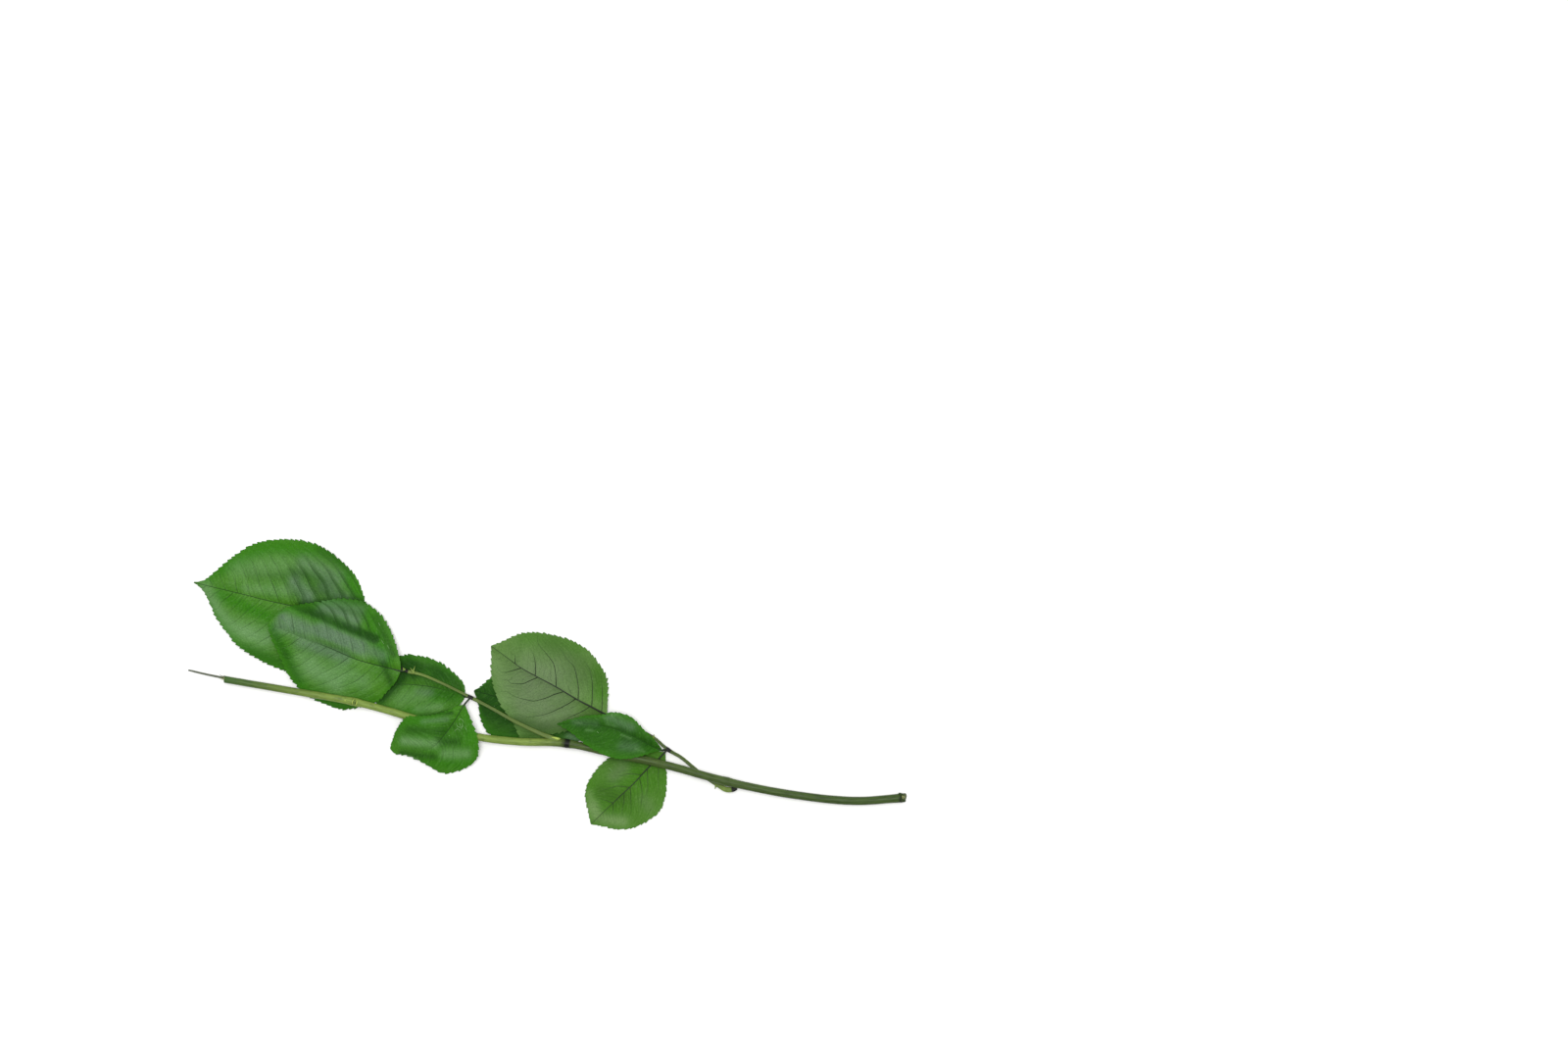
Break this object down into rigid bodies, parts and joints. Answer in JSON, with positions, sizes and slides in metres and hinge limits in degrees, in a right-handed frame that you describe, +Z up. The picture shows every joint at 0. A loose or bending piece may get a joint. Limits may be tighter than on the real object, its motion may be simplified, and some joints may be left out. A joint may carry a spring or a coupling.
{
  "type": "preserved rose stem",
  "caption": "Cut rose stem lying flat: woody shoot with two compound leaves on prickly stalks, toothed leaflets, and a wire in its top end.",
  "frame": {"origin": "middle of the outline on the surface that the stem lies on", "axes": "+X along the stem towards its cut base, +Z up from the surface"},
  "size_m": [0.3295, 0.1331, 0.0086],
  "materials": {
    "stem": "smooth green bark, satin, olive to yellow-green",
    "stalk": "smooth green, satin, nearly black at the joints",
    "leaf_upper": "leathery deep green upper side with a broad soft sheen",
    "leaf_under": "matte grey-green underside with dark raised veins",
    "wire": "dull grey-olive steel wire"
  },
  "bodies": {
    "root": {"main_stem": "stem", "florist_wire": "wire", "leaf_a_stalk": "stalk", "leaf_b_stalk": "stalk", "leaflet_a1": "leaf_upper", "leaflet_a2": "leaf_under", "leaflet_a3": "leaf_under", "leaflet_a4": "leaf_upper", "leaflet_b1": "leaf_upper", "leaflet_b2": "leaf_upper", "leaflet_b3": "leaf_upper", "leaflet_b5": "leaf_upper"}
  },
  "joints": []
}
